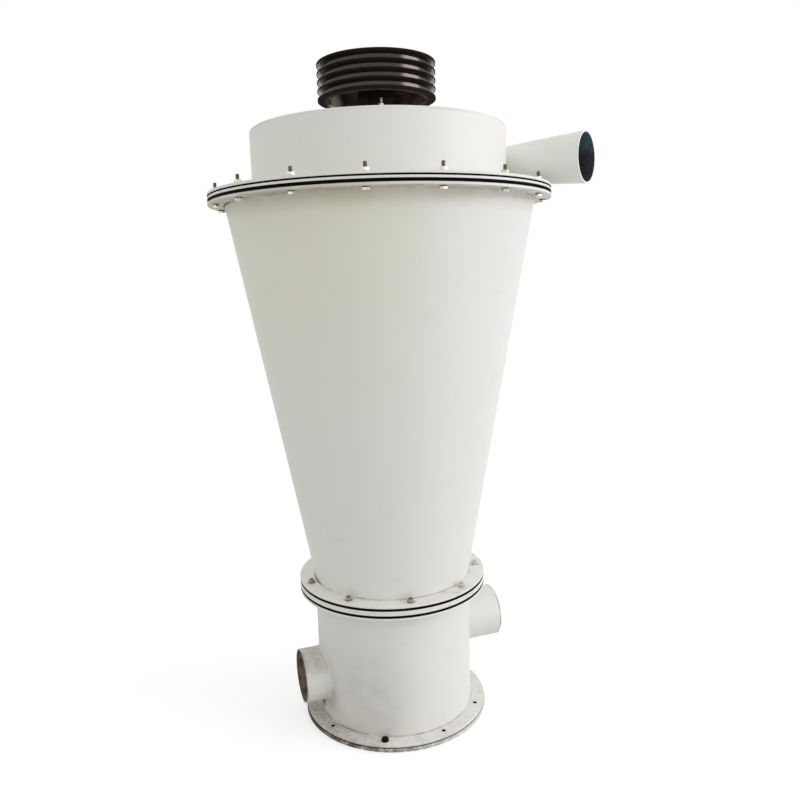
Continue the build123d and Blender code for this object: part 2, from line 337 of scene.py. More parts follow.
class Group(Net):
    """A node group with named sockets."""

    def __init__(self, kind, label, inputs, outputs):
        super().__init__(bpy.data.node_groups.new(label, kind))
        for way, sockets in (("INPUT", inputs), ("OUTPUT", outputs)):
            for name, socket in sockets.items():
                self.tree.interface.new_socket(name, in_out=way, socket_type=socket)
        self.given = self.tree.nodes.new("NodeGroupInput").outputs
        self.wanted = self.tree.nodes.new("NodeGroupOutput").inputs

    def give(self, **outputs):
        """Feeds the outputs and gives the finished tree."""
        for name, value in outputs.items():
            self.feed(value, self.wanted[name.capitalize()])
        return self.tree


# Shader groups: effects that several finishes share


def shader_group(label, numbers, **outputs):
    """A shader group that takes a place and these numbers."""
    return Group("ShaderNodeTree", label, {"Vector": VECTOR, **dict.fromkeys(numbers, FLOAT)}, outputs)


def around_axis_group():
    """Distance from the vessel's axis, the angle round it and the height."""
    net = shader_group("Around the axis", (), Radius=FLOAT, Angle=FLOAT, Height=FLOAT)
    x, y, z = net.split(net.given["Vector"])
    return net.give(radius=net.distance(net.xyz(x, y, 0.0)), angle=net.maths("ARCTAN2", y, x), height=z)


def grime_group():
    """Soft dirty patches."""
    net = shader_group("Grime", ("Scale", "Cover", "Softness"), Mask=FLOAT)
    vector, scale, cover, softness = net.given[:4]
    cloud = net.noise(vector, scale, detail=7.0, roughness=0.62)
    edge = net.minus(0.75, net.times(cover, 0.5))
    return net.give(mask=net.ramp(cloud, net.minus(edge, softness), net.plus(edge, softness)))


def runs_group():
    """Dirt that has run down an upright wall."""
    net = shader_group("Runs", ("Scale", "Cover"), Mask=FLOAT)
    vector, scale, cover = net.given[:3]
    tall = net.make("ShaderNodeMapping", {0: vector, "Scale": (1.0, 1.0, 0.06)})
    cloud = net.noise(tall, scale, detail=4.0, roughness=0.5)
    edge = net.minus(0.78, net.times(cover, 0.5))
    return net.give(mask=net.ramp(cloud, edge, net.plus(edge, 0.16)))


def rust_group():
    """Rust in its shades, with its rough height in metres."""
    shades = {"Dark": COLOUR, "Pale": COLOUR, "Bare": COLOUR}
    numbers = {"Scale": FLOAT, "Light": FLOAT, "Steel": FLOAT}
    outputs = {"Colour": COLOUR, "Height": FLOAT}
    net = Group("ShaderNodeTree", "Rust", {"Vector": VECTOR, **numbers, **shades}, outputs)
    vector, scale, light, steel, dark, pale, bare = net.given[:7]
    coarse = net.noise(vector, scale, detail=8.0, roughness=0.65)
    fine = net.noise(vector, net.times(scale, 9.0))
    shade = net.times(net.ramp(coarse, 0.32, 0.70), light, 2.0)
    rusty = net.blend(net.maths("MINIMUM", shade, 1.0), dark, pale)
    bared = net.times(net.ramp(fine, 0.48, 0.66), steel)
    rough = net.plus(coarse, net.times(fine, 0.4))
    return net.give(colour=net.blend(bared, rusty, bare), height=net.times(rough, 0.7 * MM))


def bolt_stain_group():
    """Stained rings around a circle of bolts, and the distance from the nearest bolt."""
    net = shader_group("Bolt stain", ("Circle", "Count", "First", "Reach"), Mask=FLOAT, Away=FLOAT)
    vector, circle, bolts, first, reach = net.given[:5]
    polar = net.add("ShaderNodeGroup", {0: vector}, node_tree=shared_group("Around the axis")).outputs
    half = net.over(math.pi, bolts)
    near = net.maths("WRAP", net.minus(polar["Angle"], first), half, net.times(half, -1.0))
    away = net.distance(net.xyz(net.times(near, circle), net.minus(polar["Radius"], circle), 0.0))
    ring = net.ramp(away, reach, net.times(reach, 0.45))
    cloud = net.noise(vector, 160.0, detail=5.0)
    return net.give(mask=net.times(ring, net.ramp(cloud, 0.40, 0.68)), away=away)


def paint_relief_group():
    """Height of sprayed paint on rolled sheet: slow waves and orange peel, in metres."""
    net = shader_group("Paint relief", (), Height=FLOAT)
    vector = net.given["Vector"]
    waves = net.times(net.noise(vector, 7.0, detail=1.0), 1.1 * MM)
    peel = net.times(net.noise(vector, 420.0, detail=2.0), 0.03 * MM)
    return net.give(height=net.plus(waves, peel))


SHADER_GROUPS = {
    "Around the axis": around_axis_group,
    "Grime": grime_group,
    "Runs": runs_group,
    "Rust": rust_group,
    "Bolt stain": bolt_stain_group,
    "Paint relief": paint_relief_group,
}


def shared_group(label):
    """A shared shader group, built the first time that it is asked for."""
    return bpy.data.node_groups.get(label) or SHADER_GROUPS[label]()


# Finishes


class Finish(Net):
    """A material under work: layers are laid over its colour, roughness, metal and height."""

    def __init__(self, label, colours, base, roughness, metallic=0.0, specular=0.5):
        self.material = bpy.data.materials.new(label)
        self.material.use_nodes = True
        super().__init__(self.material.node_tree)
        self.tree.nodes.clear()
        self.colours = colours
        self.shader = self.add("ShaderNodeBsdfPrincipled", {"Specular IOR Level": specular})
        surface = self.add("ShaderNodeOutputMaterial", {"Surface": self.shader.outputs[0]})
        self.tree.nodes.active = surface
        self.place = self.add("ShaderNodeTexCoord").outputs["Object"]
        self.colour = rgba(base)
        self.roughness = roughness
        self.metallic = metallic
        self.height = None

    def group(self, label, **values):
        """The outputs of a shared group, fed with object coordinates and these values."""
        inputs = {name.capitalize(): value for name, value in values.items()}
        node = self.add("ShaderNodeGroup", {"Vector": self.place, **inputs}, node_tree=shared_group(label))
        return node.outputs

    @cached_property
    def polar(self):
        """Radius, angle and height round the vessel's axis."""
        return self.group("Around the axis")

    def grime(self, scale, cover, softness):
        """Mask of soft dirty patches."""
        return self.group("Grime", scale=scale, cover=cover, softness=softness)["Mask"]

    def rust(self, scale, light, steel):
        """Colour and height of rust: how light it is, and how much steel shows through."""
        dark, pale, bare = self.colours.rust_dark, self.colours.rust_light, self.colours.bare_steel
        shades = {"dark": rgba(dark), "pale": rgba(pale), "bare": rgba(bare)}
        return self.group("Rust", scale=scale, light=light, steel=steel, **shades)

    def bolt_stain(self, circle):
        """Stains around a circle of bolts, given as radius, number and first angle."""
        radius, bolts, first = circle
        return self.group("Bolt stain", circle=radius, count=float(bolts), first=first, reach=17 * MM)

    def near(self, point, reach):
        """1 at a point, 0 beyond its reach."""
        return self.ramp(self.distance(self.place, point), reach, reach * 0.35)

    def turned_to(self, direction, full, none):
        """1 within the first angle of a direction round the axis, 0 beyond the second."""
        turn = self.maths("WRAP", self.minus(self.polar["Angle"], direction), math.pi, -math.pi)
        return self.ramp(self.maths("ABSOLUTE", turn), none, full)

    def lay(self, mask, over, roughness=None, metallic=None):
        """Lays a colour over the others where the mask is 1."""
        over = over if isinstance(over, bpy.types.NodeSocket) else rgba(over)
        self.colour = self.blend(mask, self.colour, over)
        if roughness is not None:
            self.roughness = self.between(mask, self.roughness, roughness)
        if metallic is not None:
            self.metallic = self.between(mask, self.metallic, metallic)

    def soil(self, patches, share, over, roughness=None, metallic=None):
        """Lays a share of a colour over patches of that scale, cover and softness."""
        self.lay(self.times(self.grime(*patches), share), over, roughness, metallic)

    def lay_rust(self, mask, scale, light, steel=0.2):
        """Lays rust over the other layers."""
        rust = self.rust(scale, light, steel)
        self.lay(mask, rust["Colour"], 0.82)
        self.raise_by(self.times(rust["Height"], mask))

    def raise_by(self, height):
        """Adds a height in metres."""
        self.height = height if self.height is None else self.plus(self.height, height)

    def done(self):
        """Links the layers to the shader and gives the material."""
        self.feed(self.colour, self.shader.inputs["Base Color"])
        self.feed(self.roughness, self.shader.inputs["Roughness"])
        self.feed(self.metallic, self.shader.inputs["Metallic"])
        if self.height is not None:
            bump = self.make("ShaderNodeBump", {"Strength": 1.0, "Distance": 1.0, "Height": self.height})
            self.feed(bump, self.shader.inputs["Normal"])
        return self.material


def paint(label, colours, coat=None):
    """The vessel's paint, or another coat, a little uneven in tone and gloss."""
    finish = Finish(label, colours, coat or colours.paint, 0.52)
    finish.soil((3.0, 0.45, 0.25), 0.55, colours.paint_tint, 0.58)
    finish.soil((16.0, 0.08, 0.16), 0.10, colours.grime, 0.6)
    finish.soil((190.0, 0.0, 0.05), 0.22, colours.grime)
    finish.raise_by(finish.group("Paint relief")["Height"])
    return finish


def wall_paint(label, colours, foot_r, foot_z, slope=0.0):
    """Paint of a rolled wall, with faint runs of dirt outside and bare dark steel inside."""
    finish = paint(label, colours)
    streak = finish.group("Runs", scale=34.0, cover=0.06)["Mask"]
    finish.lay(finish.times(streak, 0.10), colours.grime)
    up = finish.minus(finish.polar["Height"], foot_z)
    wall = finish.plus(finish.times(up, slope), foot_r)
    inward = finish.minus(wall, finish.polar["Radius"])
    bare = finish.blend(0.5, rgba(colours.inside), finish.rust(35.0, 0.25, 0.3)["Colour"])
    finish.lay(finish.ramp(inward, 2.0 * MM, 2.6 * MM), bare, 0.75)
    return finish


def chamber_paint(label, colours):
    """Paint of the chamber, darker low down on the side of the low stub: dirt, and painted shade near the
    floor and under the stub.
    """
    foot_z = foot("chamber_low_half")
    finish = wall_paint(label, colours, CHAMBER_R, foot_z)
    # Darker low down on the side of the low stub: grime, and painted shade where the floor gives less light
    low = finish.ramp(finish.polar["Height"], foot_z + 0.36, foot_z + 0.08)
    cloud = finish.ramp(finish.noise(finish.place, 26.0, detail=5.0), 0.3, 0.7)
    side = finish.turned_to(LOW_SIDE, 1.05, 1.6)
    finish.lay(finish.times(low, side, finish.between(cloud, 0.22, 0.34)), colours.grime, 0.55)
    # Dark smudge below the front of the low stub: dirt, and painted shade under the stub
    smudge_and_shade = finish.near(stub_rim(LOW_OUTLET, -math.asin(0.62)), 48 * MM)
    finish.lay(finish.times(smudge_and_shade, finish.grime(45.0, 0.7, 0.25), 0.5), colours.grime, 0.6)
    # Rust straight under the low stub, which paints in the shade under the stub
    finish.lay_rust(finish.near(stub_rim(LOW_OUTLET, -math.pi / 2), 34 * MM), scale=90.0, light=0.4)
    return finish


def cone_paint(label, colours):
    """Paint of the cone, stained by seepage under its head flange, and yellowed high on one side, partly as a
    painted warm tint of shade.
    """
    finish = wall_paint(label, colours, CHAMBER_R, CONE_FOOT, CONE_SLOPE)
    height = finish.polar["Height"]
    seeped = finish.grime(7.0, 0.5, 0.2)
    upper = finish.ramp(height, CONE_HEAD - 0.62, CONE_HEAD - 0.12)
    side = finish.turned_to(colours.seepage_turn, 0.7, 1.3)
    # Yellowed paint high on the seepage side: aged paint, and a painted warm tint of the shaded side
    finish.lay(finish.times(upper, side, finish.between(seeped, 0.4, 0.7)), colours.aged_paint_and_shade_tint)
    edge = finish.ramp(height, CONE_HEAD - 45 * MM, CONE_HEAD - 4 * MM)
    finish.lay(finish.times(edge, finish.plus(finish.times(seeped, 0.45), 0.12)), colours.stain, 0.5)
    return finish


def flange_paint(label, colours, rim_r, circle, dirt, stained=0.5, under=None):
    """Paint of a flange or ring: scuffed at the rim, stained around its bolts, dirty on its underside."""
    finish = paint(label, colours)
    height = finish.polar["Height"]
    finish.soil((24.0, dirt, 0.14), 0.40, colours.grime, 0.55)
    finish.lay(finish.times(finish.bolt_stain(circle)["Mask"], stained), colours.rust_light, 0.6)
    if under is not None:
        below = finish.ramp(height, under + 1.5 * MM, under + 0.3 * MM)
        finish.lay(finish.times(below, finish.grime(32.0, 0.5, 0.2), 0.55), colours.grime)
        low = finish.ramp(height, under + 9 * MM, under + 6 * MM)
        side = finish.turned_to(colours.seepage_turn, 0.6, 1.4)
        finish.lay(finish.times(low, side, finish.grime(9.0, 0.7, 0.25), 0.6), colours.stain)
    rim = finish.ramp(finish.polar["Radius"], rim_r - 1.6 * MM, rim_r - 0.3 * MM)
    finish.lay(finish.times(rim, finish.grime(38.0, 0.12, 0.12), 0.45), colours.bare_steel, 0.5)
    return finish


def base_flange_paint(label, colours, circle):
    """Paint of the base flange, which stands lowest and is the dirtiest below the low stub, with painted
    shade in its bolt holes.
    """
    finish = flange_paint(label, colours, round_size("base_flange"), circle, dirt=0.32, stained=0.25)
    finish.soil((210.0, 0.3, 0.15), 0.35, colours.grime, 0.6)
    splash = finish.times(finish.turned_to(LOW_SIDE, 0.5, 1.3), finish.grime(140.0, 0.62, 0.2), 0.6)
    finish.lay_rust(splash, scale=170.0, light=1.2)
    away = finish.bolt_stain(circle)["Away"]
    # Painted shade: the open bolt holes are laid nearly black, as the shade inside them
    finish.lay(finish.ramp(away, 5.4 * MM, 4.7 * MM), colours.black_bolt, 0.8)
    return finish


def stub_paint(label, colours, mount, end, dirt):
    """Paint of a stub pipe: rusty bore, end and lip, and as much dirt along its top as is given."""
    finish = paint(label, colours)
    axis = {"Location": (0.0, 0.0, mount["pos_m"][2]), "Rotation": (0.0, 0.0, heading(mount["axis"]))}
    turned = finish.make("ShaderNodeMapping", {0: finish.place, **axis}, vector_type="TEXTURE")
    out, side, up = finish.split(turned)
    on_top = finish.between(finish.ramp(up, 0.15 * STUB_R, 0.8 * STUB_R), 0.25, 1.0)
    finish.lay(finish.times(on_top, finish.grime(55.0, 0.8, 0.35), dirt), colours.grime, 0.6)
    lip = finish.times(finish.ramp(out, end - 5 * MM, end - 1 * MM), finish.grime(35.0, 0.5, 0.12), 0.7)
    finish.lay_rust(lip, scale=90.0, light=0.9)
    away = finish.distance(finish.xyz(0.0, side, up))
    bore = finish.ramp(away, (STUB_R + STUB_BORE_R) / 2, STUB_BORE_R + 0.4 * MM)
    finish.lay_rust(bore, scale=45.0, light=0.75)
    cut = finish.times(finish.ramp(out, end - 1.2 * MM, end - 0.2 * MM), finish.grime(60.0, 0.62, 0.1))
    finish.lay_rust(cut, scale=90.0, light=0.9, steel=0.5)
    return finish


def inlet_paint(label, colours, slope):
    """Paint of the inlet pipe, whiter than the other paint as painted light, with dark scale inside."""
    # Painted light: a whiter coat lifts the pipe against the shade of the drum and flange
    finish = paint(label, colours, colours.lit_paint)
    x, y, z = finish.split(finish.place)
    cross = finish.xyz(0.0, finish.minus(y, INLET_CENTRE.y), finish.minus(z, INLET_CENTRE.z))
    skin = finish.minus(INLET_MOUTH_R, finish.times(finish.minus(INLET_HIGH.x, x), slope))
    bore = finish.ramp(finish.minus(skin, finish.distance(cross)), 3.4 * MM, 3.9 * MM)
    scale = finish.rust(70.0, 0.35, 0.35)
    dark = finish.blend(0.08, rgba(colours.inlet_inside), scale["Colour"])
    high = finish.ramp(z, INLET_CENTRE.z + 6 * MM, INLET_CENTRE.z + 36 * MM)
    bloom = finish.times(high, finish.grime(170.0, 0.6, 0.2))
    green = finish.blend(bloom, dark, rgba(colours.inlet_bloom))
    lip = finish.ramp(x, INLET_HIGH.x - 60 * MM, INLET_HIGH.x - 4 * MM)
    pale = finish.times(finish.grime(260.0, 0.25, 0.08), lip, 0.35)
    finish.lay(bore, finish.blend(pale, green, rgba(colours.bare_steel)), 0.6)
    finish.raise_by(finish.times(scale["Height"], bore))
    return finish


def roof_paint(label, colours):
    """Paint of the drum's roof, where dust settles."""
    finish = paint(label, colours)
    finish.soil((9.0, 0.4, 0.25), 0.25, colours.grime, 0.6)
    return finish


def weld_paint(label, colours):
    """Paint over a weld bead, with dirt in its ripples."""
    finish = paint(label, colours)
    finish.soil((48.0, 0.42, 0.18), 0.45, colours.grime, 0.5)
    return finish


def dirty_shaded_weld_paint(label, colours, turn, full, none, cover):
    """Paint over a weld bead that sheds dirt, nearly black in places around a direction: dark rust, and
    painted shade on that side.
    """
    finish = weld_paint(label, colours)
    finish.soil((20.0, 0.55, 0.2), 0.7, colours.grime, 0.6)
    dark_rust_and_shade = finish.times(finish.turned_to(turn, full, none), finish.grime(16.0, cover, 0.15), 0.9)
    finish.lay(dark_rust_and_shade, colours.rust_dark, 0.7)
    return finish


def gasket_rubber(label, colours):
    """Matt black rubber with a little dust."""
    finish = Finish(label, colours, colours.rubber, 0.75, specular=0.04)
    finish.soil((30.0, 0.12, 0.2), 0.02, colours.grime, 0.85)
    finish.raise_by(finish.times(finish.noise(finish.place, 900.0, detail=2.0), 0.06 * MM))
    return finish


def plate_steel(label, colours):
    """Bottom plate under worn paint: dark rust on the side of the low stub, nearly black there as painted
    shade, dusty specks elsewhere.
    """
    finish = Finish(label, colours, colours.paint_tint, 0.55)
    share = finish.between(finish.turned_to(LOW_SIDE, 1.2, 2.2), 0.16, 0.9)
    finish.lay_rust(finish.times(finish.grime(110.0, 0.55, 0.14), share), scale=120.0, light=0.95)
    # Nearly black rust towards the low stub, which also paints in the shade on that side of the plate's edge
    patches = finish.times(finish.grime(26.0, 0.62, 0.12), finish.turned_to(LOW_SIDE, 0.7, 1.35))
    dark = finish.maths("MAXIMUM", patches, finish.turned_to(LOW_SIDE, 0.3, 0.6))
    finish.lay_rust(dark, scale=140.0, light=0.12, steel=0.1)
    return finish


def pulley_iron(label, colours):
    """Dark cast iron: worn in the grooves, dusty inside the rim, with a pale patch low on the rim's inside
    that is dust and painted light.
    """
    finish = Finish(label, colours, colours.iron, 0.9, specular=0.07)
    radius, height = finish.polar["Radius"], finish.polar["Height"]
    low = foot("drive_pulley")
    inside = finish.times(
        finish.ramp(radius, 0.33 * PULLEY_R, 0.36 * PULLEY_R),
        finish.ramp(radius, 0.92 * PULLEY_R, 0.83 * PULLEY_R),
    )
    dust = finish.times(finish.grime(26.0, 0.5, 0.25), finish.between(inside, 0.03, 0.9))
    finish.lay(dust, colours.iron_dust, 0.95)
    worn = finish.times(
        finish.ramp(radius, PULLEY_R - 0.6 * MM, PULLEY_R - 2.2 * MM),
        finish.ramp(radius, PULLEY_R - 22 * MM, PULLEY_R - 21 * MM),
        finish.ramp(height, low + 1.5 * MM, low + 3.5 * MM),
    )
    finish.lay(worn, colours.groove, 0.22, 0.75)
    rings = finish.noise(finish.xyz(0.0, 0.0, height), 900.0)
    finish.raise_by(finish.times(rings, 0.006 * MM))
    cast = finish.noise(finish.place, 420.0, detail=4.0)
    finish.raise_by(finish.times(finish.minus(1.0, worn), cast, 0.25 * MM))
    # Pale patch on the rim's inside: pale dust, and painted light where light would reach that wall
    turn, reach = colours.rim_dust_and_light_turn, 0.81 * PULLEY_R
    place = Vector((reach * math.cos(turn), reach * math.sin(turn), low + 8 * MM))
    pale = finish.times(finish.near(place, 34 * MM), inside, finish.grime(130.0, 0.8, 0.12), 0.9)
    finish.lay(pale, colours.rim_dust_and_light, 0.8, 0.0)
    return finish


def oiled_steel(label, colours):
    """Turned steel, dark with old oil, with tool marks and a little rust."""
    finish = Finish(label, colours, colours.oiled, 0.34, metallic=0.8, specular=0.2)
    across = finish.xyz(finish.polar["Radius"], 0.0, finish.polar["Height"])
    finish.raise_by(finish.times(finish.noise(across, 1600.0, detail=2.0), 0.03 * MM))
    finish.soil((60.0, 0.25, 0.12), 0.5, colours.rust_dark, 0.7, 0.2)
    return finish


class Metal(NamedTuple):
    """Metal of a fastener, the patches and share of old rust on it, and whether it is painted pale on the
    side of the key light, as painted light.
    """

    colour: str
    roughness: float
    metallic: float
    patches: tuple
    share: float
    rust_roughness: float
    rust_metallic: float = None
    specular: float = 0.5
    sprayed: bool = False


DARK_THREAD = Metal("thread", 0.3, 0.85, (260.0, 0.4, 0.15), 0.6, 0.6)
METALS = {
    "bright zinc": Metal("zinc", 0.3, 0.9, (170.0, 0.35, 0.15), 0.5, 0.6),
    "dull zinc": Metal("dull_zinc", 0.36, 0.7, (140.0, 0.45, 0.18), 0.6, 0.75, 0.0, sprayed=True),
    "black bolt": Metal("black_bolt", 0.5, 0.0, (240.0, 0.2, 0.15), 0.5, 0.7, specular=0.07),
    "dark thread": DARK_THREAD,
    "painted thread": DARK_THREAD._replace(sprayed=True),
}


def fastener_metal(label, colours):
    """Metal of bolts and nuts, made the first time that it is asked for."""
    if label in bpy.data.materials:
        return bpy.data.materials[label]
    metal = METALS[label]
    base = getattr(colours, metal.colour)
    finish = Finish(label, colours, base, metal.roughness, metal.metallic, metal.specular)
    finish.soil(metal.patches, metal.share, colours.rust_dark, metal.rust_roughness, metal.rust_metallic)
    # Painted light: paint colour laid on the key light's side makes these nuts and threads look lit
    if metal.sprayed:
        sprayed = finish.times(finish.turned_to(colours.lit_side_turn, 0.5, 0.8), 0.55)
        finish.lay(sprayed, colours.paint, 0.45, 0.0)
    return finish.done()


def wear(finish, *nodes):
    """Gives frame nodes their finish."""
    material = finish.done()
    for node in nodes:
        for slot in frame["nodes"][node].material_slots:
            slot.material = material


# Geometry node trees

ROD_SIDES, WASHER_SIDES, BEAD_SIDES = 16, 28, 8
RINGS_PER_TURN = 4.0
SAME_PLACE = 0.001 * MM
BOLT_SIZES = (
    "Bolt diameter", "Nut width", "Nut height", "Washer radius", "Washer thickness", "Seat", "Far seat",
)
BOLT_INPUTS = {
    "Circle radius": FLOAT, "Count": WHOLE, "First angle": FLOAT, "Seed": WHOLE,
    **dict.fromkeys(BOLT_SIZES, FLOAT), "Nut finish": MATERIAL,
}
THREAD_INPUTS = {"Head height": FLOAT, "Thread out": FLOAT, "Thread pitch": FLOAT, "Thread finish": MATERIAL}
BEAD_INPUTS = {
    "Bead radius": FLOAT, "Step": FLOAT, "Ripple": FLOAT, "Ripple height": FLOAT, "Wander": FLOAT,
    "Finish": MATERIAL,
}


def geometry_group(label, inputs):
    """A geometry node tree with a geometry in and out and these named inputs."""
    return Group("GeometryNodeTree", label, {"Geometry": GEOMETRY, **inputs}, {"Geometry": GEOMETRY})


def moved(net, geometry, height):
    """A geometry, raised."""
    return net.make("GeometryNodeTransform", {"Geometry": geometry, "Translation": net.xyz(0.0, 0.0, height)})


def joined(net, *geometries):
    """Several geometries as one."""
    node = net.add("GeometryNodeJoinGeometry")
    for geometry in geometries:
        net.tree.links.new(geometry, node.inputs[0])
    return node.outputs[0]


def coated(net, geometry, finish):
    """A geometry as a plain mesh in its finish."""
    plain = net.make("GeometryNodeRealizeInstances", {"Geometry": geometry})
    return net.make("GeometryNodeSetMaterial", {"Geometry": plain, "Material": finish})


def hexagon(net, width, height):
    """A hexagon block with chamfered ends, standing on height 0."""
    corner = net.over(width, math.sqrt(3.0))
    bevel = net.times(width, 0.06)
    face = net.minus(corner, net.times(bevel, 1.5))
    side = net.minus(height, net.times(bevel, 2.0))
    six = {"Vertices": 6, "Side Segments": 1}
    block = {**six, "Radius": corner, "Depth": side}
    middle = net.make("GeometryNodeMeshCylinder", block, fill_type="NONE")
    rising = {**six, "Radius Top": corner, "Radius Bottom": face, "Depth": bevel}
    lower = net.make("GeometryNodeMeshCone", rising, fill_type="NONE")
    falling = {**rising, "Radius Top": face, "Radius Bottom": corner}
    upper = net.make("GeometryNodeMeshCone", falling, fill_type="NONE")
    end = {"Vertices": 6, "Radius": face}
    top = net.make("GeometryNodeMeshCircle", end, fill_type="NGON")
    under = net.make("GeometryNodeMeshCircle", end, fill_type="NGON")
    whole = joined(
        net,
        moved(net, middle, net.times(height, 0.5)),
        lower,
        moved(net, upper, net.minus(height, bevel)),
        moved(net, top, height),
        net.make("GeometryNodeFlipFaces", {0: under}),
    )
    return net.make("GeometryNodeMergeByDistance", {"Geometry": whole, "Distance": SAME_PLACE})


def washer(net, radius, thickness):
    """A flat washer, standing on height 0."""
    disc = {"Vertices": WASHER_SIDES, "Radius": radius, "Depth": thickness}
    return moved(net, net.make("GeometryNodeMeshCylinder", disc), net.times(thickness, 0.5))


def threaded_rod(net, diameter, rod_length, pitch):
    """A rod with a running thread and a tapered tip, standing on height 0."""
    rings = net.maths("CEIL", net.times(net.over(rod_length, pitch), RINGS_PER_TURN))
    radius = net.times(diameter, 0.5)
    rod = {"Vertices": ROD_SIDES, "Side Segments": rings, "Radius": radius, "Depth": rod_length}
    standing = moved(net, net.make("GeometryNodeMeshCylinder", rod), net.times(rod_length, 0.5))
    x, y, z = net.split(net.make("GeometryNodeInputPosition"))
    rise = net.plus(net.over(z, pitch), net.over(net.maths("ARCTAN2", y, x), math.tau))
    wave = net.times(net.maths("PINGPONG", rise, 0.5), 2.0)
    tip = net.times(net.ramp(net.minus(rod_length, z), pitch, 0.0, smooth=False), 0.16)
    shrink = net.times(net.plus(net.times(wave, 0.13), tip), -1.0)
    offset = net.xyz(net.times(x, shrink), net.times(y, shrink), 0.0)
    return net.make("GeometryNodeSetPosition", {"Geometry": standing, "Offset": offset})


def plain_rod(net, diameter, low, high):
    """A plain round rod between two heights."""
    rod = {"Vertices": ROD_SIDES, "Radius": net.times(diameter, 0.5), "Depth": net.minus(high, low)}
    return moved(net, net.make("GeometryNodeMeshCylinder", rod), net.times(net.plus(low, high), 0.5))


def spread(net, geometry, finish):
    """Sets a geometry out on the bolt circle, as a plain mesh in its finish."""
    bolts, radius = net.given["Count"], net.given["Circle radius"]
    step = net.over(math.tau, bolts)
    turn = net.plus(net.given["First angle"], net.times(net.make("GeometryNodeInputIndex"), step))
    east, north = net.times(net.maths("COSINE", turn), radius), net.times(net.maths("SINE", turn), radius)
    cloud = net.make("GeometryNodePoints", {"Count": bolts, "Position": net.xyz(east, north, 0.0)})
    limits = {2: 0.0, 3: math.pi / 3, 8: net.given["Seed"]}
    random = net.add("FunctionNodeRandomValue", limits, data_type="FLOAT").outputs[1]
    spin = net.xyz(0.0, 0.0, net.plus(turn, random))
    inputs = {"Points": cloud, "Instance": geometry, "Rotation": spin}
    return coated(net, net.make("GeometryNodeInstanceOnPoints", inputs), finish)


def nut_on_washer(net):
    """The washer on the near seat, and the nut or head on it."""
    given = net.given
    thickness = given["Washer thickness"]
    return (
        moved(net, washer(net, given["Washer radius"], thickness), given["Seat"]),
        moved(net, hexagon(net, given["Nut width"], given["Nut height"]), net.plus(given["Seat"], thickness)),
    )


def through_bolt_tree():
    """A circle of through bolts: head and a dark lock washer below, that washer standing partly for painted
    shade at the head's top; washer, nut and thread end above.
    """
    net = geometry_group("Through bolts", {**BOLT_INPUTS, **THREAD_INPUTS})
    given = net.given
    diameter, thickness, seat, far = (
        given[name] for name in ("Bolt diameter", "Washer thickness", "Seat", "Far seat")
    )
    nut_top = net.plus(net.plus(seat, thickness), given["Nut height"])
    under_washer = net.minus(far, thickness)
    bolt_head = hexagon(net, given["Nut width"], given["Head height"])
    bright = joined(
        net, *nut_on_washer(net), moved(net, bolt_head, net.minus(under_washer, given["Head height"]))
    )
    thread = threaded_rod(net, diameter, given["Thread out"], given["Thread pitch"])
    dark = joined(
        net,
        # Dark lock washer between flange and head: a washer, and a dark piece that stands for the shade at
        # the head's top
        moved(net, washer(net, net.times(given["Nut width"], 0.5), thickness), under_washer),
        plain_rod(net, diameter, far, seat),
        moved(net, thread, nut_top),
    )
    bolts = joined(net, spread(net, bright, given["Nut finish"]), spread(net, dark, given["Thread finish"]))
    return net.give(geometry=bolts)


def cap_bolt_tree():
    """A circle of screwed-in bolts: shank, washer and head."""
    net = geometry_group("Cap bolts", BOLT_INPUTS)
    given = net.given
    shank = plain_rod(net, given["Bolt diameter"], given["Far seat"], given["Seat"])
    return net.give(geometry=spread(net, joined(net, *nut_on_washer(net), shank), given["Nut finish"]))


def weld_bead_tree():
    """A rippled bead along each path of the geometry that comes in."""
    net = geometry_group("Weld bead", BEAD_INPUTS)
    given = net.given
    path = net.make("GeometryNodeMeshToCurve", {"Mesh": given["Geometry"]})
    even = net.make("GeometryNodeResampleCurve", {"Curve": path, "Length": given["Step"]}, mode="LENGTH")
    keep = net.add("GeometryNodeCaptureAttribute", domain="POINT")
    keep.capture_items.new("FLOAT", "Along")
    net.feed(even, keep.inputs[0])
    net.feed(net.add("GeometryNodeSplineParameter").outputs["Length"], keep.inputs["Along"])
    section = {"Resolution": BEAD_SIDES, "Radius": given["Bead radius"]}
    profile = net.make("GeometryNodeCurvePrimitiveCircle", section, mode="RADIUS")
    bead = net.make("GeometryNodeCurveToMesh", {"Curve": keep.outputs[0], "Profile Curve": profile})
    turns = net.times(net.over(keep.outputs["Along"], given["Ripple"]), math.tau)
    wave = net.times(net.maths("SINE", turns), given["Ripple height"])
    drift = net.minus(net.noise(net.make("GeometryNodeInputPosition"), 30.0), 0.5)
    out = net.plus(wave, net.times(drift, given["Wander"], 2.0))
    along_normal = {0: net.make("GeometryNodeInputNormal"), "Scale": out}
    offset = net.make("ShaderNodeVectorMath", along_normal, operation="SCALE")
    rippled = net.make("GeometryNodeSetPosition", {"Geometry": bead, "Offset": offset})
    smooth = net.make("GeometryNodeSetShadeSmooth", {"Geometry": rippled})
    return net.give(geometry=coated(net, smooth, given["Finish"]))


TREES = {
    "Through bolts": through_bolt_tree,
    "Cap bolts": cap_bolt_tree,
    "Weld bead": weld_bead_tree,
}


